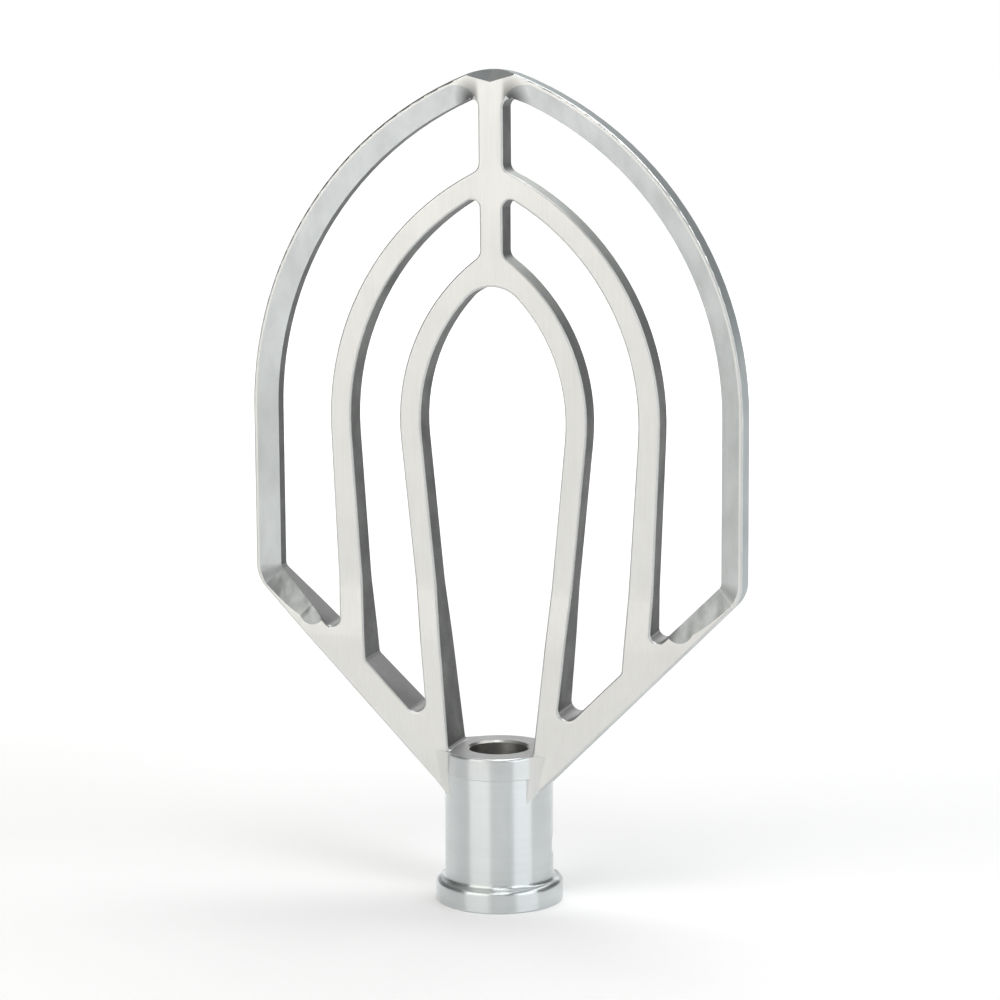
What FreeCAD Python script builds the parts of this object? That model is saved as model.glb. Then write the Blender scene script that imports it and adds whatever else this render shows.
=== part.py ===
import FreeCAD, Part
import math
import os

# Flat beater for a twenty-quart mixer, cast in aluminium in one piece.
# Millimetres, +Z up.  The beater stands on its flange, as it is put down on a bench:
# the origin is the middle of the flange's face, on the axis of the bore.
# The flat frame lies in the XZ plane and Y is its thickness.

# The frame, seen from the front.
half_width = 95.0            # bore axis to the outer edge of the outer loop
arch_shift = 39.0            # each side of an arch is struck from this far past the axis
outer_spring_z = 186.0       # height of the centres of the outer arch
spring_step = 3.0            # the inner arches' centres are this much lower
peak_r = 24.0                # round of the outer loop's peak
outer_bar = 8.65             # width of the outer loop's bar
middle_half = 64.0           # bore axis to the outer edge of the middle loop
middle_bar = 8.2
inner_half = 36.4            # bore axis to the outer edge of the inner loop
inner_bar = 8.3
middle_lean = 2.4            # degrees the legs draw in as they come down: outer edges
middle_window_lean = 3.6     # and the edges facing the axis
inner_lean = 5.7
inner_window_lean = 5.4
spine_half = 4.7             # half the width of the spine across the outer windows
lower_spine_half = 4.4       # and across the middle windows
foot_drop = 33.0             # the 45 degree outer edges would meet this far below the hub's top
diagonal_bar = 9.0           # width of the bar under the outer windows
web_bar = 11.0               # width of the metal under the middle windows
outer_corner_r = 12.0        # outer loop, where the side turns into the diagonal
side_corner_r = 3.0          # the same corner inside the window
spine_top_r = 3.0            # window corners at the head of the spine
spine_foot_r = 4.0           # window corners on the crowns of the loops
outer_pocket_r = 3.0         # acute corner at the bottom of the outer windows
middle_pocket_r = 3.8        # acute corner at the bottom of the middle windows
middle_corner_r = 2.5        # obtuse corner at the bottom of the middle windows
crown_r = 13.6               # round of the innermost window's crown
sill_r = 1.5                 # corners where the innermost window meets the hub

# The frame, seen from the side.
half_thick = 5.7             # half the thickness of the loops
flare_rise = 0.5             # the faces start to swell this far above the loops' lower corners
flare_step = 21.0            # height of the steeper part of the flare
flare_mid_half = 8.2         # half thickness at its foot
flare_low_half = 10.9        # half thickness just above the hub
flare_low_rise = 1.5         # how far above the hub that is
flare_blend_r = 45.0         # round over the two changes of slope
cast_edge_r = 0.8            # round on the long edges of the casting
peak_bevel = 5.0             # bevel ground on both edges of the peak, deepest on the axis
peak_bevel_rise = 15.0       # degrees its lower edge rises to each side

# Bevels round the inside of the outer loop: deep on the front, lighter on the back.
front_bevel_w = 7.2
front_bevel_d = 3.9
front_end_w = 4.2            # the same at the foot of the bevel, where it fades
front_end_d = 1.3
back_bevel_w = 3.9
back_bevel_d = 2.1
back_end_w = 3.0
back_end_d = 0.7
bevel_reach = 1.2            # the cutter's small end reaches this far inside the window
bevel_run = 18.0             # length of the bevel down the diagonal

# The hub.
hub_r = 20.6                 # turned barrel
head_proud = 0.3             # the head, left as cast between the legs, stands this proud
hub_height = 58.5
cast_head_h = 8.5            # the turned surface stops this far below the hub's top
head_edge_r = 1.0
leg_blend_r = 20.0           # hollow blends between the legs' faces and the barrel
leg_blend_dip = 0.5          # how far their ends dip into the metal
leg_blend_drop = 18.5        # they start this far below the hub's top, inside the legs
flange_rim = 3.6             # the flange stands this far out from the barrel
flange_t = 8.5
flange_edge_r = 1.7
flange_fillet_r = 1.4
flange_chamfer = 0.6

# The bore takes a 7/8 inch shaft and the slot takes its cross pin.
shaft_d = 22.2
shaft_clearance = 0.2
bore_chamfer = 0.8
pin_d = 9.5
pin_clearance = 0.5
pin_z = 21.5                 # height of the turned leg of the slot
pin_seat_azimuth = 16.0      # degrees from +X towards the back: where the pin seats
slot_entry_azimuth = 50.0    # where the open leg of the slot comes down to the flange

# Worked out from the above.
root2 = math.sqrt(2.0)
inner_spring_z = outer_spring_z - spring_step
diagonal_foot = hub_height - foot_drop
flare_top_z = half_width + diagonal_foot + flare_rise
flare_mid_z = flare_top_z - flare_step
flare_low_z = hub_height + flare_low_rise
turned_z = hub_height - cast_head_h
leg_blend_z = hub_height - leg_blend_drop
cast_hub_r = hub_r + head_proud
flange_r = hub_r + flange_rim
outer_r = half_width + arch_shift
point_z = outer_spring_z + math.sqrt(outer_r ** 2 - arch_shift ** 2)
peak_cos = (point_z - outer_spring_z) / outer_r
peak_z = point_z - peak_r * (1 / peak_cos - 1)
wall_x = half_width - outer_bar
wall_r = outer_r - outer_bar
middle_r = middle_half + arch_shift
inner_r = inner_half + arch_shift
diagonal_offset = diagonal_foot + diagonal_bar * root2
web_offset = diagonal_foot + web_bar * root2
bore_r = (shaft_d + shaft_clearance) / 2
slot_w = pin_d + pin_clearance
far = 40.0                   # how far cutting tools run past the metal
axis_x = FreeCAD.Vector(1, 0, 0)
axis_y = FreeCAD.Vector(0, 1, 0)
axis_z = FreeCAD.Vector(0, 0, 1)
origin = FreeCAD.Vector(0, 0, 0)


def at(x, z, y=0.0):
    return FreeCAD.Vector(x, y, z)


def line(a, b):
    return Part.makeLine(a, b)


def opposite(p):
    """The same point on the left-hand side."""
    return at(-p.x, p.z, p.y)


def flip_x(shape):
    return shape.mirror(origin, axis_x)


def flip_y(shape):
    return shape.mirror(origin, axis_y)


def arch_z(radius, spring_z, x):
    """Height of an arch of this radius over the point x."""
    return spring_z + math.sqrt(radius ** 2 - (x + arch_shift) ** 2)


def arch_arc(radius, spring_z, x_top, lean):
    """The side of an arch, from over x_top down to where a leg leaves it at this lean."""
    turn = math.radians(lean)
    foot = at(radius * math.cos(turn) - arch_shift, spring_z - radius * math.sin(turn))
    top = at(x_top, arch_z(radius, spring_z, x_top))
    rise = math.asin((top.z - spring_z) / radius)
    middle = (rise - turn) / 2
    through = at(radius * math.cos(middle) - arch_shift, spring_z + radius * math.sin(middle))
    return Part.Arc(top, through, foot).toShape(), top, foot


def leg_at(foot, lean, z):
    """A point lower down a leg that leaves its arch at foot."""
    return at(foot.x - (foot.z - z) * math.tan(math.radians(lean)), z)


def leg_meets_diagonal(foot, lean, offset):
    """Where a leg that leaves its arch at foot meets the diagonal x = z - offset."""
    slope = math.tan(math.radians(lean))
    z = (offset + foot.x - slope * foot.z) / (1 - slope)
    return at(z - offset, z)


def prism(edges, half_depth):
    """A plate with this outline in the XZ plane, the same depth each side of it."""
    face = Part.Face(Part.Wire(Part.__sortEdges__(edges)))
    face.translate(axis_y * -half_depth)
    return face.extrude(axis_y * 2 * half_depth)


def runs_through(edge):
    """True for an edge that runs from the front of a plate to its back."""
    ys = [v.Point.y for v in edge.Vertexes]
    return max(ys) - min(ys) > 1.0 and abs(edge.CenterOfMass.y) < 0.1


def round_through(shape, corner, radius):
    """Round the edge that runs from front to back at this corner of the outline."""
    picked = []
    for edge in shape.Edges:
        centre = edge.CenterOfMass
        if runs_through(edge) and math.hypot(centre.x - corner.x, centre.z - corner.z) < 0.05:
            picked.append(edge)
    return shape.makeFillet(radius, picked)


# Outline of the whole frame: a pointed arch, upright sides, and 45 degree
# diagonals that run in under the hub's surface.
right_arc, point, side_top = arch_arc(outer_r, outer_spring_z, 0.0, 0.0)
side_foot = at(half_width, half_width + diagonal_foot)
tuck = at(hub_r / 2, hub_r / 2 + diagonal_foot)
right_half = [right_arc, line(side_top, side_foot), line(side_foot, tuck)]
outline = right_half + [flip_x(edge) for edge in right_half]
outline.append(line(tuck, opposite(tuck)))
blank = prism(outline, far / 2)
blank = round_through(blank, point, peak_r)
blank = round_through(blank, side_foot, outer_corner_r)
blank = round_through(blank, opposite(side_foot), outer_corner_r)

# Outer window, right hand.
over, over_top, over_foot = arch_arc(wall_r, outer_spring_z, spine_half, 0.0)
under, under_top, under_foot = arch_arc(middle_r, inner_spring_z, spine_half, middle_lean)
wall_foot = at(wall_x, wall_x + diagonal_offset)
pocket = leg_meets_diagonal(under_foot, middle_lean, diagonal_offset)
outer_edges = [over, line(over_foot, wall_foot), line(wall_foot, pocket)]
outer_edges += [line(pocket, under_foot), under, line(under_top, over_top)]
outer_window = prism(outer_edges, far)
outer_window = round_through(outer_window, over_top, spine_top_r)
outer_window = round_through(outer_window, under_top, spine_foot_r)
outer_window = round_through(outer_window, pocket, outer_pocket_r)
outer_window = round_through(outer_window, wall_foot, side_corner_r)

# Middle window, right hand.
over, over_top, over_foot = arch_arc(
    middle_r - middle_bar, inner_spring_z, lower_spine_half, middle_window_lean)
under, under_top, under_foot = arch_arc(
    inner_r, inner_spring_z, lower_spine_half, inner_lean)
heel = leg_meets_diagonal(over_foot, middle_window_lean, web_offset)
pocket = leg_meets_diagonal(under_foot, inner_lean, web_offset)
middle_edges = [over, line(over_foot, heel), line(heel, pocket)]
middle_edges += [line(pocket, under_foot), under, line(under_top, over_top)]
middle_window = prism(middle_edges, far)
middle_window = round_through(middle_window, over_top, spine_top_r)
middle_window = round_through(middle_window, under_top, spine_foot_r)
middle_window = round_through(middle_window, pocket, middle_pocket_r)
middle_window = round_through(middle_window, heel, middle_corner_r)

# Innermost window, on the axis, down to the top of the hub.
side, crown, side_end = arch_arc(
    inner_r - inner_bar, inner_spring_z, 0.0, inner_window_lean)
sill = leg_at(side_end, inner_window_lean, hub_height)
leg = line(side_end, sill)
inner_edges = [side, flip_x(side), leg, flip_x(leg), line(sill, opposite(sill))]
inner_window = prism(inner_edges, far)
inner_window = round_through(inner_window, crown, crown_r)
inner_window = round_through(inner_window, sill, sill_r)
inner_window = round_through(inner_window, opposite(sill), sill_r)

# Side view: loops of one thickness, swelling below the flare line towards the hub.
low_rate = (flare_low_half - flare_mid_half) / (flare_mid_z - flare_low_z)
low_z = tuck.z - 1.0
low_half = flare_low_half + low_rate * (flare_low_z - low_z)
front_line = [at(0, point_z + 1, half_thick), at(0, flare_top_z, half_thick)]
front_line += [at(0, flare_mid_z, flare_mid_half), at(0, low_z, low_half)]
back_line = [at(0, p.z, -p.y) for p in reversed(front_line)]
side_face = Part.Face(Part.makePolygon(front_line + back_line + [front_line[0]]))
side_face.translate(axis_x * -(half_width + far))
side_form = side_face.extrude(axis_x * 2 * (half_width + far))
creases = []
for edge in side_form.Edges:
    along_x = edge.BoundBox.XLength > half_width
    centre_z = edge.CenterOfMass.z
    if along_x and min(abs(centre_z - flare_top_z), abs(centre_z - flare_mid_z)) < 0.1:
        creases.append(edge)
side_form = side_form.makeFillet(flare_blend_r, creases)

frame = blank.common(side_form)
for window in (outer_window, middle_window):
    frame = frame.cut(window)
    frame = frame.cut(flip_x(window))
frame = frame.cut(inner_window)

# Every long edge of the casting's two faces is a little round.
long_edges = []
for edge in frame.Edges:
    if not runs_through(edge) and edge.CenterOfMass.z > tuck.z + 1:
        long_edges.append(edge)
frame = frame.makeFillet(cast_edge_r, long_edges)


def bevel_section(place, outward, face_half, width, depth):
    """Section of a bevel on the front face: a triangle on the window's wall at place."""
    rate = width / depth
    lift = 3.0
    foot = place - outward * bevel_reach
    tip = place + outward * (width + rate * lift)
    low_y = face_half - depth - bevel_reach / rate
    top_y = face_half + lift
    points = [at(foot.x, foot.z, -low_y), at(foot.x, foot.z, -top_y)]
    points.append(at(tip.x, tip.z, -top_y))
    return Part.makePolygon(points + [points[0]])


def swing(section, centre, degrees):
    """Turn a section about an axis along Y through centre."""
    return Part.Face(section).revolve(centre, axis_y, degrees)


def bevel_tool(width, depth, end_width, end_depth):
    """Cutter for the right-hand bar's front: a round end beside the spine, the arch,
    the side, the corner, and the diagonal with a round end of its own."""
    arch_centre = at(-arch_shift, outer_spring_z)
    path_r = wall_r - bevel_reach
    start_x = spine_half + width + bevel_reach
    start_turn = math.degrees(math.acos((start_x + arch_shift) / path_r))
    side_section = bevel_section(at(wall_x, outer_spring_z), axis_x, half_thick,
                                 width, depth)
    arch_run = swing(side_section, arch_centre, -start_turn)
    start_section = side_section.copy()
    start_section.rotate(arch_centre, axis_y, -start_turn)
    start_cap = swing(start_section, at(start_x, arch_z(path_r, outer_spring_z, start_x)), -180)

    corner_z = wall_foot.z + side_corner_r * math.tan(math.radians(22.5))
    corner_centre = at(wall_x - side_corner_r, corner_z)
    corner_section = bevel_section(at(wall_x, corner_z), axis_x, half_thick, width, depth)
    side_run = Part.Face(corner_section).extrude(axis_z * (outer_spring_z - corner_z))
    corner_run = swing(corner_section, corner_centre, 45)

    outward = at(1 / root2, -1 / root2)
    downward = at(-1 / root2, -1 / root2)
    diagonal_start = corner_centre + outward * side_corner_r
    diagonal_end = diagonal_start + downward * bevel_run
    flare_rate = (flare_mid_half - half_thick) / (flare_top_z - flare_mid_z)
    end_half = half_thick + flare_rate * (flare_top_z - diagonal_end.z)
    first = bevel_section(diagonal_start, outward, half_thick, width, depth)
    last = bevel_section(diagonal_end, outward, end_half, end_width, end_depth)
    diagonal_run = Part.makeLoft([first, last], True, True)
    end_cap = swing(last, diagonal_end - outward * bevel_reach, 180)
    return start_cap.fuse([arch_run, side_run, corner_run, diagonal_run, end_cap])


front_tool = bevel_tool(front_bevel_w, front_bevel_d, front_end_w, front_end_d)
back_tool = flip_y(bevel_tool(back_bevel_w, back_bevel_d, back_end_w, back_end_d))
for tool in (front_tool, back_tool):
    frame = frame.cut(tool)
    frame = frame.cut(flip_x(tool))

# Bevels on both edges of the peak, in a right and a left half that meet on the axis.
bevel_foot = at(0, peak_z - peak_bevel, -half_thick)
bevel_head = at(0, peak_z, peak_bevel - half_thick)
over_z = peak_z + 5.0
front_y = -half_thick - 5.0
peak_points = [bevel_foot, bevel_head, at(0, over_z, bevel_head.y)]
peak_points += [at(0, over_z, front_y), at(0, bevel_foot.z, front_y), bevel_foot]
peak_face = Part.Face(Part.makePolygon(peak_points))
peak_tool = peak_face.extrude(at(far, far * math.tan(math.radians(peak_bevel_rise))))
for tool in (peak_tool, flip_y(peak_tool)):
    frame = frame.cut(tool)
    frame = frame.cut(flip_x(tool))

# The hub is one turned profile: flange, fillet, turned barrel, cast head.
curve_in = 1 - 1 / root2
edge_z = flange_t - flange_edge_r
edge_x = flange_r - flange_edge_r
fillet_z = flange_t + flange_fillet_r
fillet_x = hub_r + flange_fillet_r
step = cast_hub_r - hub_r
foot_in = at(flange_r - flange_chamfer, 0)
foot_out = at(flange_r, flange_chamfer)
edge_low = at(flange_r, edge_z)
edge_mid = at(flange_r - flange_edge_r * curve_in, flange_t - flange_edge_r * curve_in)
edge_top = at(edge_x, flange_t)
fillet_out = at(fillet_x, flange_t)
fillet_mid = at(hub_r + flange_fillet_r * curve_in, flange_t + flange_fillet_r * curve_in)
fillet_in = at(hub_r, fillet_z)
turned_end = at(hub_r, turned_z)
cast_start = at(cast_hub_r, turned_z + step)
head_low = at(cast_hub_r, hub_height - head_edge_r)
head_mid = at(cast_hub_r - head_edge_r * curve_in, hub_height - head_edge_r * curve_in)
head_top = at(cast_hub_r - head_edge_r, hub_height)
profile = [line(origin, foot_in), line(foot_in, foot_out), line(foot_out, edge_low)]
profile.append(Part.Arc(edge_low, edge_mid, edge_top).toShape())
profile.append(line(edge_top, fillet_out))
profile.append(Part.Arc(fillet_out, fillet_mid, fillet_in).toShape())
profile += [line(fillet_in, turned_end), line(turned_end, cast_start)]
profile.append(line(cast_start, head_low))
profile.append(Part.Arc(head_low, head_mid, head_top).toShape())
profile += [line(head_top, at(0, hub_height)), line(at(0, hub_height), origin)]
hub = Part.Face(Part.Wire(profile)).revolve(origin, axis_z, 360)

# Hollow blends between the legs' faces and the head of the barrel.  Each is struck from
# a centre outside both, dips a little into both, and is trimmed to the leg's lower edge.
blend_face_y = flare_low_half - leg_blend_dip
blend_barrel_r = cast_hub_r - leg_blend_dip
blend_y = blend_face_y + leg_blend_r
blend_reach = blend_barrel_r + leg_blend_r
blend_x = math.sqrt(blend_reach ** 2 - blend_y ** 2)
blend_centre = FreeCAD.Vector(blend_x, -blend_y, leg_blend_z)
on_face = FreeCAD.Vector(blend_x, -blend_face_y, leg_blend_z)
on_barrel = FreeCAD.Vector(blend_x, -blend_y, 0) * (blend_barrel_r / blend_reach)
on_barrel.z = leg_blend_z
toward = (on_face + on_barrel) / 2 - blend_centre
toward.normalize()
on_curve = blend_centre + toward * leg_blend_r
core = FreeCAD.Vector(bore_r, -half_thick, leg_blend_z)
core_out = FreeCAD.Vector(blend_x, -half_thick, leg_blend_z)
blend_edges = [Part.Arc(on_face, on_curve, on_barrel).toShape(), line(on_barrel, core)]
blend_edges += [line(core, core_out), line(core_out, on_face)]
blend_face = Part.Face(Part.Wire(blend_edges))
blend = blend_face.extrude(axis_z * (hub_height - leg_blend_z)).common(blank)

casting = frame.fuse([hub, blend, flip_x(blend), flip_y(blend), flip_x(flip_y(blend))])
casting = casting.removeSplitter()

# Bore, with a small chamfer at both mouths.
bore = Part.makeCylinder(bore_r, hub_height + 2, at(0, -1))
low_mouth = Part.makeCone(bore_r + bore_chamfer, bore_r, bore_chamfer)
top_mouth = Part.makeCone(bore_r, bore_r + bore_chamfer, bore_chamfer,
                          at(0, hub_height - bore_chamfer))
casting = casting.cut(bore).cut(low_mouth).cut(top_mouth)

# Slot for the cross pin: an open leg up through the flange, then a turned leg round
# to the seat.  Both legs end in a half round.
entry = Part.makeBox(far, slot_w, pin_z + 1, at(0, -1, -slot_w / 2))
entry_end = Part.makeCylinder(slot_w / 2, far, at(0, pin_z), axis_x)
seat_end = entry_end.copy()
turned_leg = Part.makeCylinder(far, slot_w, at(0, pin_z - slot_w / 2), axis_z,
                               slot_entry_azimuth - pin_seat_azimuth)
entry.rotate(origin, axis_z, slot_entry_azimuth)
entry_end.rotate(origin, axis_z, slot_entry_azimuth)
seat_end.rotate(origin, axis_z, pin_seat_azimuth)
turned_leg.rotate(origin, axis_z, pin_seat_azimuth)
for tool in (entry, entry_end, seat_end, turned_leg):
    casting = casting.cut(tool)

os.makedirs("parts", exist_ok=True)
casting.exportStep("parts/beater_casting.step")
box = casting.optimalBoundingBox()
print("valid", casting.isValid(), "solids", len(casting.Solids), "faces", len(casting.Faces))
print("size", round(box.XLength, 2), round(box.YLength, 2), round(box.ZLength, 2))
print("volume in cm3", round(casting.Volume / 1000, 1))
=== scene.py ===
"""Dresses the flat beater: one aluminium casting with sanded faces, ground bevels,
cast walls and a turned hub, standing on its flange on a pale floor.
Everything is in metres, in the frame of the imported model."""
import math

import bpy
import numpy as np
from mathutils import Matrix, Vector


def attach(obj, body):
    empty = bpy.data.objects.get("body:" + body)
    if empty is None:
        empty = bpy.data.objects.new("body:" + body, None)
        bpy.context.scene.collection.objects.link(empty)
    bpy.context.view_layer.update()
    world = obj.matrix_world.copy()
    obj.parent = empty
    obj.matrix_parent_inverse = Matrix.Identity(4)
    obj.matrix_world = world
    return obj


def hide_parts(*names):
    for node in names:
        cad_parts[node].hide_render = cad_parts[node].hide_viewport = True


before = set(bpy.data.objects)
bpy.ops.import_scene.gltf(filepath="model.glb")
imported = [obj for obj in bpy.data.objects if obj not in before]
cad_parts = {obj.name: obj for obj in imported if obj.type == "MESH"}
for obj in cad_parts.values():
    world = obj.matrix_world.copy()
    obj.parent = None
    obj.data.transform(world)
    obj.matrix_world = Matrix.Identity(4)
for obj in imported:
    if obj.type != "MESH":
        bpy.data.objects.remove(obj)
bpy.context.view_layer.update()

bl_info = {
    "name": "Flat Beater",
    "version": (1, 0, 0),
    "blender": (4, 5, 0),
    "location": "View3D > Sidebar > Beater",
    "description": "A cast flat beater for a bench mixer, with ground and turned finishes",
    "category": "Object",
}

CASTING = "beater_casting"
BEATER_MIDDLE = (0.0, 0.0, 0.15)
NEAR = 0.0002  # how near a triangle's middle has to be to a limit to count as on it
FINISHES = ("sanded_face", "ground_bevel", "cut_bevel_and_painted_shade", "cast_wall", "rubbed_edge",
            "dressed_rim", "turned_hub", "cast_head", "hub_top", "reamed_bore")


def length(name, text, value):
    return bpy.props.FloatProperty(name=name, description=text, default=value, min=0.0,
                                   unit="LENGTH", precision=4)


def tint(name, text, value):
    return bpy.props.FloatVectorProperty(name=name, description=text, default=value, size=3,
                                         subtype="COLOR", min=0.0, max=1.0)


def share(name, text, value, top=1.0):
    return bpy.props.FloatProperty(name=name, description=text, default=value, min=0.0,
                                   max=top, subtype="FACTOR")


class BeaterShape(bpy.types.PropertyGroup):
    """Where one finish gives way to the next on the casting."""

    wall_x: length("Loop wall", "Axis to the inner wall of the outer loop", 0.08635)
    wall_r: length("Loop wall radius", "Radius of the outer loop's inner wall", 0.12535)
    arch_shift: length("Arch shift", "How far past the axis the arches are struck from", 0.039)
    spring_z: length("Spring height", "Height of the outer arch's centres", 0.186)
    diagonal_z: length("Diagonal height", "Where the outer windows' sills meet the axis",
                       0.03823)
    bevel_reach: length("Bevel width", "Furthest a bevel runs from the loop's inner wall",
                        0.0074)
    cut_reach: length("Cut bevel width", "The same on the diagonals", 0.0083)
    cut_start: length("Cut bevel start", "Distance from the axis plus height where the "
                      "diagonals' bevels start", 0.2091)
    peak_z: length("Peak height", "The peak's round and its bevels are above this height",
                   0.306)
    hub_r: length("Hub radius", "Radius of the hub's head", 0.0209)
    flange_r: length("Flange radius", "Nothing of the hub is further from the axis", 0.0245)
    bore_r: length("Bore radius", "Radius of the bore", 0.0112)
    turned_z: length("Turned height", "The turned surface stops at this height", 0.0500)
    hub_top_z: length("Hub height", "Height of the hub's top face", 0.0585)
    arm_low_z: length("Arm foot", "Height at which the arms leave the hub", 0.0405)
    sill_top_z: length("Sill height", "Up-facing walls under this height are window sills",
                       0.15)
    half_width: length("Half width", "Axis to the outer edge of the loops", 0.095)
    diagonal_foot: length("Rim foot", "Where the diagonal rims would meet the axis", 0.0255)


class BeaterFinish(bpy.types.PropertyGroup):
    """Colours of the metal's finishes."""

    sanded: tint("Sanded faces", "Flat faces, sanded on a belt", (0.745, 0.747, 0.728))
    ground: tint("Ground bevels", "Bevels ground by hand", (0.69, 0.712, 0.705))
    cut: tint("Cut bevels", "Bevels on the diagonals, cut back harder", (0.32, 0.335, 0.338))
    cast: tint("Cast walls", "Walls left as they came from the mould", (0.157, 0.163, 0.157))
    rubbed: tint("Rubbed edges", "Rounded edges, rubbed bright", (0.68, 0.69, 0.68))
    rim: tint("Dressed rims", "Outer walls, dressed after casting", (0.39, 0.43, 0.436))
    turned: tint("Turned hub", "Barrel and flange, turned on a lathe", (0.73, 0.765, 0.765))
    head: tint("Cast head", "Head of the hub, left as cast", (0.71, 0.735, 0.735))
    top: tint("Hub top", "Top of the hub, left as cast", (0.50, 0.505, 0.50))
    bore: tint("Bore", "Reamed bore and the milled slot", (0.58, 0.575, 0.56))


class BeaterStage(bpy.types.PropertyGroup):
    """Camera, lamps and floor."""

    camera_place: bpy.props.FloatVectorProperty(
        name="Camera place", description="Where the camera stands", size=3, unit="LENGTH",
        default=(0.32256, -1.03793, 0.31495))
    camera_turn: bpy.props.FloatProperty(
        name="Camera turn", description="Camera's turn towards -X", subtype="ANGLE",
        default=math.radians(17.2076))
    camera_dip: bpy.props.FloatProperty(
        name="Camera dip", description="How far the camera looks down", subtype="ANGLE",
        default=math.radians(8.467))
    camera_roll: bpy.props.FloatProperty(
        name="Camera roll", description="Camera's roll about its view", subtype="ANGLE",
        default=math.radians(-0.368))
    lens: bpy.props.FloatProperty(
        name="Lens", description="Focal length on a 36 mm sensor", subtype="DISTANCE_CAMERA",
        default=105.69)
    floor_r: length("Floor radius", "Radius of the round floor", 30.0)
    floor_tint: tint("Floor", "Colour of the floor", (0.80, 0.80, 0.80))
    glow_near: share("Near glow", "White added to the floor beside the beater", 0.18, 2.0)
    glow_far: share("Far glow", "White added to the floor further back", 0.90, 2.0)
    backdrop: share("Backdrop", "Brightness of the surround behind the beater", 1.0, 2.0)
    room: share("Room", "Brightness of the surround on the camera's side", 0.20, 2.0)
    sides: share("Sides", "Brightness of the surround at the beater's sides", 0.06, 2.0)
    ceiling: share("Ceiling", "Brightness of the surround overhead", 0.26, 2.0)


def add(tree, kind, inputs=None, **settings):
    """Add a node, set its own settings, then fill its sockets with values or links."""
    made = tree.nodes.new(kind)
    for name, value in settings.items():
        setattr(made, name, value)
    for name, value in (inputs or {}).items():
        socket = made.inputs[name]
        if isinstance(value, bpy.types.NodeSocket):
            tree.links.new(value, socket)
        else:
            socket.default_value = value
    return made


def sums(tree, operation, first, second=0.0, third=0.0):
    made = add(tree, "ShaderNodeMath", {0: first, 1: second, 2: third}, operation=operation)
    return made.outputs[0]


def spread(tree, value, low, high, to_low=0.0, to_high=1.0):
    """Map a value from one range on to another, held at both ends."""
    made = add(tree, "ShaderNodeMapRange", {0: value, 1: low, 2: high, 3: to_low, 4: to_high})
    return made.outputs[0]


def scaled(tree, vector, amounts):
    """A vector with each of its parts multiplied by its own amount."""
    made = add(tree, "ShaderNodeVectorMath", {0: vector, 1: amounts}, operation="MULTIPLY")
    return made.outputs[0]


def noise(tree, vector, scale, detail=2.0, roughness=0.5):
    made = add(tree, "ShaderNodeTexNoise", {"Vector": vector, "Scale": scale,
                                            "Detail": detail, "Roughness": roughness})
    return made.outputs["Fac"]


def new_group(name, inputs, outputs):
    """An empty node group with these float or vector sockets."""
    tree = bpy.data.node_groups.new(name, "ShaderNodeTree")
    for label, kind in inputs:
        tree.interface.new_socket(label, in_out="INPUT", socket_type=kind)
    for label in outputs:
        tree.interface.new_socket(label, in_out="OUTPUT", socket_type="NodeSocketFloat")
    entry = tree.nodes.new("NodeGroupInput").outputs
    leaving = tree.nodes.new("NodeGroupOutput").inputs
    return tree, entry, leaving


def belt_lines_group():
    """Fine lines left by a belt: noise drawn out along one direction, over soft clouds.
    Stretch holds how many times finer the pattern is along X, Y and Z."""
    tree, entry, leaving = new_group(
        "belt lines", [("Vector", "NodeSocketVector"), ("Stretch", "NodeSocketVector")],
        ["Height", "Tone"])
    lines = noise(tree, scaled(tree, entry["Vector"], entry["Stretch"]), 1.0, 4.0, 0.65)
    clouds = noise(tree, entry["Vector"], 45.0, 3.0, 0.55)
    tree.links.new(lines, leaving["Height"])
    mixed = sums(tree, "ADD", sums(tree, "MULTIPLY", lines, 0.45),
                 sums(tree, "MULTIPLY", clouds, 0.55))
    tree.links.new(spread(tree, mixed, 0.34, 0.66), leaving["Tone"])
    return tree


def hand_ground_group():
    """Overlapping facets left by a hand grinder: a smooth cell pattern drawn out across
    the bevel, broken by fine slanting lines."""
    tree, entry, leaving = new_group(
        "hand ground", [("Vector", "NodeSocketVector"), ("Size", "NodeSocketFloat")],
        ["Height", "Tone", "Lines"])
    scale = sums(tree, "DIVIDE", 1.0, entry["Size"])
    slant = add(tree, "ShaderNodeMapping", {"Vector": entry["Vector"],
                                            "Rotation": (0.0, math.radians(28.0), 0.0),
                                            "Scale": (1.0, 1.0, 0.45)})
    cells = add(tree, "ShaderNodeTexVoronoi", {"Vector": slant.outputs[0], "Scale": scale,
                                               "Smoothness": 1.0, "Randomness": 1.0},
                feature="SMOOTH_F1")
    clouds = noise(tree, slant.outputs[0], sums(tree, "MULTIPLY", scale, 0.8), 3.0, 0.6)
    lines = noise(tree, scaled(tree, slant.outputs[0], (2600.0, 2600.0, 260.0)), 1.0, 3.0)
    facets = spread(tree, cells.outputs["Distance"], 0.0, 0.8)
    tree.links.new(sums(tree, "ADD", sums(tree, "MULTIPLY", facets, 0.5),
                        sums(tree, "MULTIPLY", clouds, 0.5)), leaving["Height"])
    tree.links.new(spread(tree, clouds, 0.30, 0.70), leaving["Tone"])
    tree.links.new(lines, leaving["Lines"])
    return tree


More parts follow.
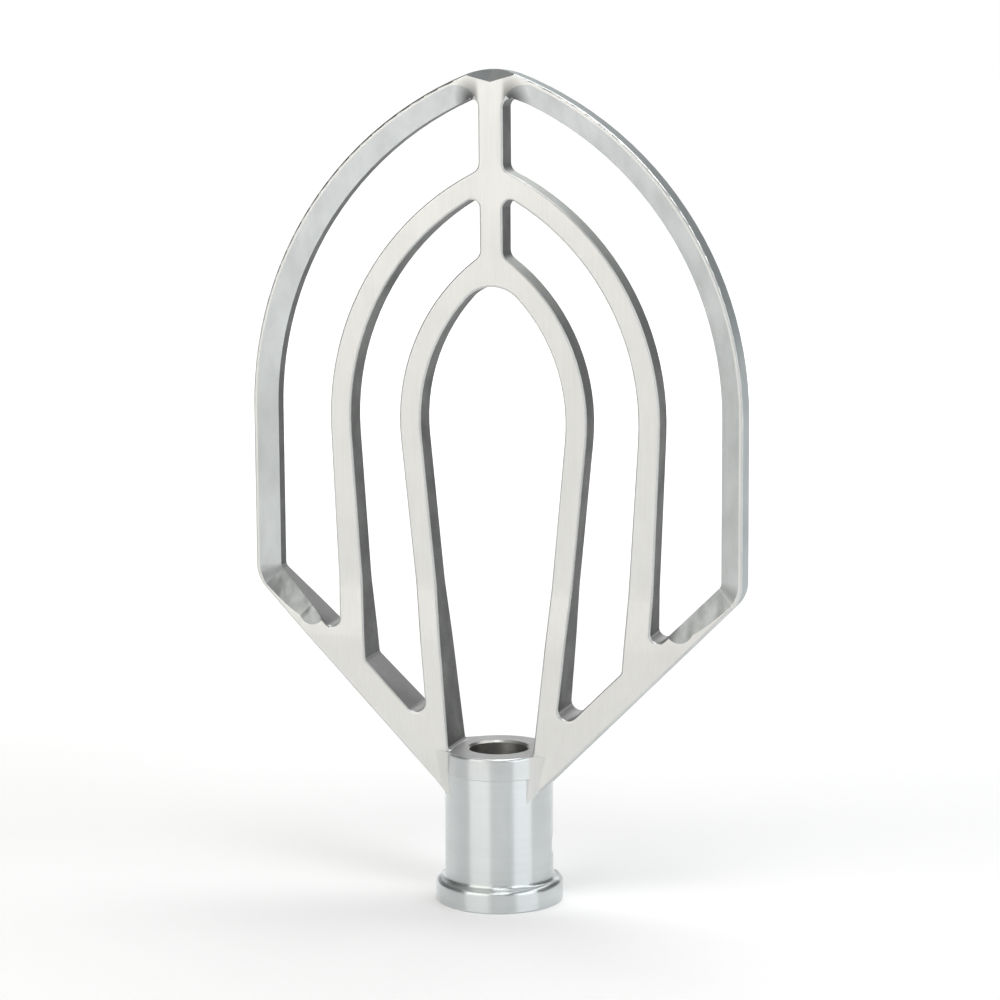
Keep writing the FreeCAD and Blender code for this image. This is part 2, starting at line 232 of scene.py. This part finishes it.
def cast_skin_group():
    """Skin of a casting: fine grain, a few soft hollows and slow clouds of tone."""
    tree, entry, leaving = new_group(
        "cast skin", [("Vector", "NodeSocketVector"), ("Grain", "NodeSocketFloat")],
        ["Height", "Tone"])
    scale = sums(tree, "DIVIDE", 1.0, entry["Grain"])
    grain = noise(tree, entry["Vector"], scale, 3.0, 0.6)
    hollows = noise(tree, entry["Vector"], sums(tree, "MULTIPLY", scale, 0.22), 2.0, 0.5)
    clouds = noise(tree, entry["Vector"], 70.0, 4.0, 0.6)
    tree.links.new(sums(tree, "ADD", sums(tree, "MULTIPLY", grain, 0.55),
                        sums(tree, "MULTIPLY", hollows, 0.45)), leaving["Height"])
    mixed = sums(tree, "ADD", sums(tree, "MULTIPLY", grain, 0.3),
                 sums(tree, "MULTIPLY", clouds, 0.7))
    tree.links.new(spread(tree, mixed, 0.32, 0.68), leaving["Tone"])
    return tree


def lathe_rings_group():
    """Rings left by a lathe.  They follow height less radius, which runs along the
    whole turned profile: up the barrel, round the fillet and out over the flange."""
    tree, entry, leaving = new_group(
        "lathe rings", [("Vector", "NodeSocketVector"), ("Pitch", "NodeSocketFloat")],
        ["Height", "Tone"])
    parts = add(tree, "ShaderNodeSeparateXYZ", {0: entry["Vector"]}).outputs
    flat = sums(tree, "SQRT", sums(tree, "ADD", sums(tree, "MULTIPLY", parts[0], parts[0]),
                                   sums(tree, "MULTIPLY", parts[1], parts[1])))
    along = sums(tree, "SUBTRACT", parts[2], flat)
    fine = add(tree, "ShaderNodeTexNoise", {"W": sums(tree, "DIVIDE", along, entry["Pitch"]),
                                            "Scale": 1.0, "Detail": 2.0},
               noise_dimensions="1D").outputs["Fac"]
    upward = add(tree, "ShaderNodeCombineXYZ", {2: along}).outputs[0]
    broad = noise(tree, upward, 420.0, 3.0)
    clouds = noise(tree, entry["Vector"], 90.0, 3.0, 0.6)
    tree.links.new(fine, leaving["Height"])
    mixed = sums(tree, "ADD", sums(tree, "MULTIPLY", broad, 0.6),
                 sums(tree, "MULTIPLY", clouds, 0.4))
    tree.links.new(spread(tree, mixed, 0.34, 0.66), leaving["Tone"])
    return tree


def corner_shade_group():
    """How much of a tone is left near the upper window corners beside the spine: painted
    shade, a dark patch laid on the faces and bevels there, 1 away from them."""
    tree, entry, leaving = new_group("corner shade", [("Vector", "NodeSocketVector")],
                                     ["Left"])
    folded = add(tree, "ShaderNodeVectorMath", {0: entry["Vector"]},
                 operation="ABSOLUTE").outputs[0]
    flat = scaled(tree, folded, (1.0, 0.0, 0.7))
    gap = add(tree, "ShaderNodeVectorMath", {0: flat, 1: (0.0078, 0.0, 0.7 * 0.3010)},
              operation="DISTANCE").outputs["Value"]
    aside = spread(tree, add(tree, "ShaderNodeSeparateXYZ", {0: folded}).outputs[0],
                   0.0040, 0.0056)
    taken = sums(tree, "MULTIPLY", aside, spread(tree, gap, 0.0016, 0.0068, 0.80, 0.0))
    tree.links.new(sums(tree, "SUBTRACT", 1.0, taken), leaving["Left"])
    return tree


def painted_top_light_group():
    """What a cast wall's tone is multiplied by: about 1 where it is upright or faces down, and
    more as it turns upward over the crown of an arch: painted light, upward-facing walls made
    brighter the more they face up."""
    tree, entry, leaving = new_group("painted_top_light", [("Vector", "NodeSocketVector")], ["Left"])
    normal = add(tree, "ShaderNodeTexCoord").outputs["Normal"]
    up = add(tree, "ShaderNodeSeparateXYZ", {0: normal}).outputs[2]
    rise = sums(tree, "MAXIMUM", up, 0.0)
    tree.links.new(spread(tree, sums(tree, "MULTIPLY", rise, rise), 0.0, 1.0, 1.05, 5.9),
                   leaving["Left"])
    return tree


def metal(name, group, settings, colour, dark, rough, depth, across=0.0, shade=None):
    """A metal whose tone and roughness move with the group's Tone, and whose surface
    follows its Height.  dark is how far the tone falls, rough the two roughnesses and
    depth the height of the marks in metres.  across is how far rings about the axis
    draw its reflections out across them.  shade is a group whose Left multiplies the
    tone at each place."""
    material = bpy.data.materials.new(name)
    material.use_nodes = True
    tree = material.node_tree
    tree.nodes.clear()
    place = add(tree, "ShaderNodeTexCoord").outputs["Object"]
    pattern = add(tree, "ShaderNodeGroup", node_tree=group)
    tree.links.new(place, pattern.inputs["Vector"])
    for label, value in settings.items():
        pattern.inputs[label].default_value = value
    light = tuple(colour) + (1.0,)
    deep = tuple(part * (1.0 - dark) for part in colour) + (1.0,)
    tones = add(tree, "ShaderNodeMix", {0: pattern.outputs["Tone"], 6: deep, 7: light},
                data_type="RGBA")
    coloured = tones.outputs[2]
    if shade:
        left = add(tree, "ShaderNodeGroup", node_tree=shade)
        tree.links.new(place, left.inputs["Vector"])
        coloured = add(tree, "ShaderNodeVectorMath",
                       {0: coloured, "Scale": left.outputs["Left"]},
                       operation="SCALE").outputs[0]
    roughness = spread(tree, pattern.outputs["Tone"], 0.0, 1.0, rough[1], rough[0])
    surface = add(tree, "ShaderNodeBsdfPrincipled", {
        "Base Color": coloured, "Metallic": 1.0, "Roughness": roughness})
    if depth:
        normal = add(tree, "ShaderNodeBump", {"Height": pattern.outputs["Height"],
                                              "Distance": depth, "Strength": 1.0})
        if "Lines" in pattern.outputs:
            normal = add(tree, "ShaderNodeBump", {"Height": pattern.outputs["Lines"],
                                                  "Distance": 0.000012, "Strength": 1.0,
                                                  "Normal": normal.outputs[0]})
        tree.links.new(normal.outputs[0], surface.inputs["Normal"])
    if across:
        rings = add(tree, "ShaderNodeTangent", direction_type="RADIAL", axis="Z")
        tree.links.new(rings.outputs[0], surface.inputs["Tangent"])
        surface.inputs["Anisotropic"].default_value = across
        surface.inputs["Anisotropic Rotation"].default_value = 0.25
    leaving = add(tree, "ShaderNodeOutputMaterial")
    tree.links.new(surface.outputs[0], leaving.inputs["Surface"])
    return material


def make_finishes(finish):
    """The casting's finishes, in the order of FINISHES."""
    belt = belt_lines_group()
    ground = hand_ground_group()
    skin = cast_skin_group()
    rings = lathe_rings_group()
    corners = corner_shade_group()
    painted_top_light = painted_top_light_group()
    upright = (1500.0, 1500.0, 60.0)
    return [
        # Sanded faces and ground bevels take painted shade near the upper window corners
        # beside the spine.
        metal("sanded_face", belt, {"Stretch": upright}, finish.sanded, 0.07,
              (0.40, 0.50), 0.000012, shade=corners),
        metal("ground_bevel", ground, {"Size": 0.0065}, finish.ground, 0.14,
              (0.30, 0.40), 0.00010, shade=corners),
        metal("cut_bevel_and_painted_shade", ground, {"Size": 0.0050}, finish.cut, 0.34,
              (0.28, 0.40), 0.00036),
        # Cast walls take painted light: their tone grows the more they face upward.
        metal("cast_wall", skin, {"Grain": 0.0009}, finish.cast, 0.35,
              (0.48, 0.62), 0.00006, shade=painted_top_light),
        metal("rubbed_edge", skin, {"Grain": 0.0012}, finish.rubbed, 0.20,
              (0.34, 0.44), 0.00003),
        metal("dressed_rim", belt, {"Stretch": (400.0, 2600.0, 400.0)}, finish.rim, 0.15,
              (0.38, 0.48), 0.000015),
        metal("turned_hub", rings, {"Pitch": 0.00055}, finish.turned, 0.05,
              (0.27, 0.31), 0.0, 1.0),
        metal("cast_head", skin, {"Grain": 0.0010}, finish.head, 0.10,
              (0.30, 0.34), 0.00001, 0.95),
        metal("hub_top", skin, {"Grain": 0.0009}, finish.top, 0.20,
              (0.44, 0.54), 0.00003),
        metal("reamed_bore", rings, {"Pitch": 0.00060}, finish.bore, 0.20,
              (0.30, 0.38), 0.000002, 0.6),
    ]


def sort_faces(mesh, shape):
    """Which finish each triangle takes, worked out from its middle and the mean of its
    corners' normals."""
    count = len(mesh.polygons)
    middle = np.zeros(count * 3)
    normal = np.zeros(count * 9)
    mesh.polygons.foreach_get("center", middle)
    mesh.corner_normals.foreach_get("vector", normal)
    x, y, z = middle.reshape(-1, 3).T
    nx, ny, nz = normal.reshape(-1, 3, 3).mean(axis=1).T
    side = np.abs(x)
    facing = np.abs(ny)
    radius = np.hypot(x, y)
    outward = (nx * x + ny * y) / np.maximum(radius, 1e-6)

    arch = np.hypot(side + shape.arch_shift, z - shape.spring_z) - shape.wall_r
    upright = side - shape.wall_x
    sill = (side + shape.diagonal_z - z) / math.sqrt(2.0)
    into = np.maximum(np.where(z > shape.spring_z, arch, upright), sill)
    rim = np.where(z > shape.spring_z,
                   np.hypot(side + shape.arch_shift, z - shape.spring_z),
                   side + shape.arch_shift)
    at_rim = rim > shape.half_width + shape.arch_shift - 0.0003
    at_rim |= side + shape.diagonal_foot - z > -0.0003
    at_rim |= (side > shape.wall_x) & (nx * np.sign(x) > 0.5)
    at_rim |= z > shape.peak_z

    sort = np.full(count, FINISHES.index("rubbed_edge"))
    foot = (z < shape.hub_top_z + 0.004) & (side > 0.012) & (radius > shape.hub_r - NEAR)
    sort[(facing > 0.985) | (foot & (facing > 0.3))] = FINISHES.index("sanded_face")
    walls = facing < 0.12
    sort[walls] = FINISHES.index("cast_wall")
    # Up-facing walls low down, the window sills, take the lighter hub-top colour: painted
    # light on the sills.
    sort[walls & (nz > 0.3) & (z < shape.sill_top_z)] = FINISHES.index("hub_top")
    sort[walls & at_rim] = FINISHES.index("dressed_rim")
    sort[foot & (nz > 0.9)] = FINISHES.index("rubbed_edge")
    cut = (side + z < shape.cut_start) & (sill > upright)
    bevel = (facing > 0.3) & (facing < 0.99) & (into > 0.0)
    bevel &= into < np.where(cut, shape.cut_reach, shape.bevel_reach)
    bevel &= (side > 0.0045) & (z > 0.09)
    sort[bevel] = FINISHES.index("ground_bevel")
    sort[bevel & cut] = FINISHES.index("cut_bevel_and_painted_shade")
    peak = (z > shape.peak_z) & (nz > 0.5) & (facing > 0.5)
    sort[peak] = FINISHES.index("ground_bevel")
    # The left half of the peak takes the darker cut-bevel colour: painted shade on the side
    # that the brow lamp lights more.
    sort[peak & (x < 0.0)] = FINISHES.index("cut_bevel_and_painted_shade")

    hub = (radius < shape.flange_r) & (z < shape.turned_z + NEAR)
    turned = hub & ((outward > 0.3) | (np.abs(nz) > 0.6))
    turned &= (z < shape.arm_low_z) | ((radius < shape.hub_r - 0.0001) & (outward > 0.995))
    head = (radius < shape.hub_r + 0.0001) & (z > shape.turned_z)
    head &= z < shape.hub_top_z + 0.0001
    head &= (outward > 0.995) | (nz > 0.05) | (nz < -0.6)
    top = head & (nz > 0.98)
    bore = (radius < shape.bore_r + 0.0010) & (outward < 0.1) & (z < shape.hub_top_z - 1e-5)
    slot = hub & ~turned & (z < shape.arm_low_z)
    sort[turned] = FINISHES.index("turned_hub")
    sort[head] = FINISHES.index("cast_head")
    sort[top] = FINISHES.index("hub_top")
    sort[slot | bore] = FINISHES.index("reamed_bore")
    return sort


class BEATER_OT_casting(bpy.types.Operator):
    """Make the casting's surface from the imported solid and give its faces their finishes"""

    bl_idname = "beater.casting"
    bl_label = "Casting"

    def execute(self, context):
        scene = context.scene
        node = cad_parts[CASTING]
        mesh = node.data.copy()
        mesh.name = "casting"
        mesh.materials.clear()
        for material in make_finishes(scene.beater_finish):
            mesh.materials.append(material)
        sort = sort_faces(mesh, scene.beater_shape)
        mesh.polygons.foreach_set("material_index", sort.astype(np.int32))
        casting = bpy.data.objects.new("casting", mesh)
        scene.collection.objects.link(casting)
        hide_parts(CASTING)
        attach(casting, "root")
        return {"FINISHED"}


def disc(name, radius, rings, spokes):
    """A flat round floor: points at radius times the square of u, turned by v."""
    u = np.linspace(0.0, 1.0, rings) ** 2
    v = np.linspace(0.0, 2 * math.pi, spokes, endpoint=False)
    points = np.stack([radius * u[:, None] * np.cos(v), radius * u[:, None] * np.sin(v),
                       np.zeros((rings, spokes))], axis=-1).reshape(-1, 3)
    ring, spoke = np.meshgrid(np.arange(rings - 1), np.arange(spokes), indexing="ij")
    beside = (spoke + 1) % spokes
    quads = np.stack([ring * spokes + spoke, (ring + 1) * spokes + spoke,
                      (ring + 1) * spokes + beside, ring * spokes + beside], axis=-1)
    mesh = bpy.data.meshes.new(name)
    mesh.from_pydata(points.tolist(), [], quads.reshape(-1, 4).tolist())
    return mesh


def floor_material(stage):
    """A pale matt floor that adds a little white for rays that see it, so that it
    meets the white surround and still shows the beater's shadow."""
    material = bpy.data.materials.new("pale_floor")
    material.use_nodes = True
    tree = material.node_tree
    tree.nodes.clear()
    path = add(tree, "ShaderNodeLightPath").outputs
    seen = sums(tree, "MAXIMUM", path["Is Camera Ray"],
                sums(tree, "MAXIMUM", path["Is Glossy Ray"], path["Is Transmission Ray"]))
    place = add(tree, "ShaderNodeTexCoord").outputs["Object"]
    turn = stage.camera_turn
    behind = add(tree, "ShaderNodeVectorMath",
                 {0: place, 1: (-math.sin(turn), math.cos(turn), 0.0)},
                 operation="DOT_PRODUCT").outputs["Value"]
    level = spread(tree, behind, 0.10, 1.6, stage.glow_near, stage.glow_far)
    matt = add(tree, "ShaderNodeBsdfDiffuse", {"Color": tuple(stage.floor_tint) + (1.0,)})
    glow = add(tree, "ShaderNodeEmission", {"Color": (1.0, 1.0, 1.0, 1.0),
                                            "Strength": sums(tree, "MULTIPLY", seen, level)})
    both = add(tree, "ShaderNodeAddShader", {0: matt.outputs[0], 1: glow.outputs[0]})
    leaving = add(tree, "ShaderNodeOutputMaterial")
    tree.links.new(both.outputs[0], leaving.inputs["Surface"])
    return material


def make_surround(stage):
    """A studio surround: a white backdrop behind the beater, and a white foot all round,
    in a grey room with a darker ceiling."""
    world = bpy.data.worlds.new("surround")
    bpy.context.scene.world = world
    world.use_nodes = True
    tree = world.node_tree
    tree.nodes.clear()
    way = add(tree, "ShaderNodeTexCoord").outputs["Generated"]
    height = add(tree, "ShaderNodeSeparateXYZ", {0: way}).outputs[2]
    turn = stage.camera_turn
    behind = add(tree, "ShaderNodeVectorMath",
                 {0: way, 1: (-math.sin(turn), math.cos(turn), 0.0)},
                 operation="DOT_PRODUCT").outputs["Value"]
    around_it = spread(tree, behind, -0.35, 0.15, stage.room, stage.sides)
    low = spread(tree, behind, 0.72, 0.95, around_it, stage.backdrop)
    low = spread(tree, height, 0.02, 0.07, stage.backdrop, low)
    high = spread(tree, height, 0.40, 0.85)
    level = add(tree, "ShaderNodeMix", {0: high, 2: low, 3: stage.ceiling}).outputs[0]
    back = add(tree, "ShaderNodeBackground", {"Color": (1.0, 1.0, 1.0, 1.0),
                                              "Strength": level})
    leaving = add(tree, "ShaderNodeOutputWorld")
    tree.links.new(back.outputs[0], leaving.inputs["Surface"])


def add_box_lamp(name, place, width, height, level, colour):
    """A soft box of this radiance that faces the beater's middle; the lamp's power is
    radiance x area x pi."""
    lamp = bpy.data.lights.new(name, "AREA")
    lamp.shape = "RECTANGLE"
    lamp.size = width
    lamp.size_y = height
    lamp.energy = level * width * height * math.pi
    lamp.color = colour
    holder = bpy.data.objects.new(name, lamp)
    bpy.context.scene.collection.objects.link(holder)
    holder.location = place
    aim = Vector(BEATER_MIDDLE) - Vector(place)
    holder.rotation_euler = aim.to_track_quat("-Z", "Y").to_euler()


def add_camera(stage):
    """The camera, placed by its turn, dip and roll."""
    turn, dip, roll = stage.camera_turn, stage.camera_dip, stage.camera_roll
    look = Vector((-math.sin(turn) * math.cos(dip), math.cos(turn) * math.cos(dip),
                   -math.sin(dip)))
    right = Vector((math.cos(turn), math.sin(turn), 0.0))
    up = right.cross(look)
    rolled = math.cos(roll) * right + math.sin(roll) * up
    raised = -math.sin(roll) * right + math.cos(roll) * up
    data = bpy.data.cameras.new("camera")
    data.sensor_width = 36.0
    data.lens = stage.lens
    data.clip_end = 100.0
    camera = bpy.data.objects.new("camera", data)
    bpy.context.scene.collection.objects.link(camera)
    turned = Matrix((rolled, raised, -look)).transposed()
    camera.matrix_world = Matrix.Translation(Vector(stage.camera_place)) @ turned.to_4x4()
    bpy.context.scene.camera = camera


def around(turn, far, height):
    """A place at this turn from -Y towards +X, in degrees, this far out and high."""
    angle = math.radians(turn)
    return (far * math.sin(angle), -far * math.cos(angle), height)


# Each lamp's name, place, width, height, radiance and colour.
LAMPS = (
    ("warm_box", around(-26.0, 1.3, 0.78), 1.22, 1.1, 1.95, (1.0, 0.97, 0.92)),
    ("cool_box", around(69.0, 1.3, 0.70), 1.08, 1.1, 1.85, (0.93, 0.97, 1.0)),
    ("brow_box", around(21.0, 1.05, 2.30), 0.90, 0.70, 5.0, (1.0, 1.0, 1.0)),
    ("top_box", (0.25, 0.95, 2.25), 2.0, 1.3, 3.4, (1.0, 1.0, 1.0)),
)


class BEATER_OT_stage(bpy.types.Operator):
    """Make the floor, the surround, the lamps and the camera"""

    bl_idname = "beater.stage"
    bl_label = "Stage"

    def execute(self, context):
        scene = context.scene
        stage = scene.beater_stage
        floor = bpy.data.objects.new("floor", disc("floor", stage.floor_r, 40, 72))
        floor.data.materials.append(floor_material(stage))
        scene.collection.objects.link(floor)
        make_surround(stage)
        for lamp in LAMPS:
            add_box_lamp(*lamp)
        add_camera(stage)
        scene.view_settings.view_transform = "Standard"
        return {"FINISHED"}


class BEATER_PT_panel(bpy.types.Panel):
    bl_idname = "BEATER_PT_panel"
    bl_label = "Flat Beater"
    bl_space_type = "VIEW_3D"
    bl_region_type = "UI"
    bl_category = "Beater"

    def draw(self, context):
        layout = self.layout
        layout.operator("beater.casting")
        layout.operator("beater.stage")
        for group in ("beater_finish", "beater_shape", "beater_stage"):
            values = getattr(context.scene, group)
            box = layout.box()
            for name in values.__annotations__:
                box.prop(values, name)


GROUPS = {"beater_shape": BeaterShape, "beater_finish": BeaterFinish,
          "beater_stage": BeaterStage}
CLASSES = tuple(GROUPS.values()) + (BEATER_OT_casting, BEATER_OT_stage, BEATER_PT_panel)


def register():
    for item in CLASSES:
        bpy.utils.register_class(item)
    for name, group in GROUPS.items():
        setattr(bpy.types.Scene, name, bpy.props.PointerProperty(type=group))


def unregister():
    for name in GROUPS:
        delattr(bpy.types.Scene, name)
    for item in reversed(CLASSES):
        bpy.utils.unregister_class(item)


def main():
    register()
    bpy.ops.beater.casting()
    bpy.ops.beater.stage()


if __name__ == "__main__":
    main()
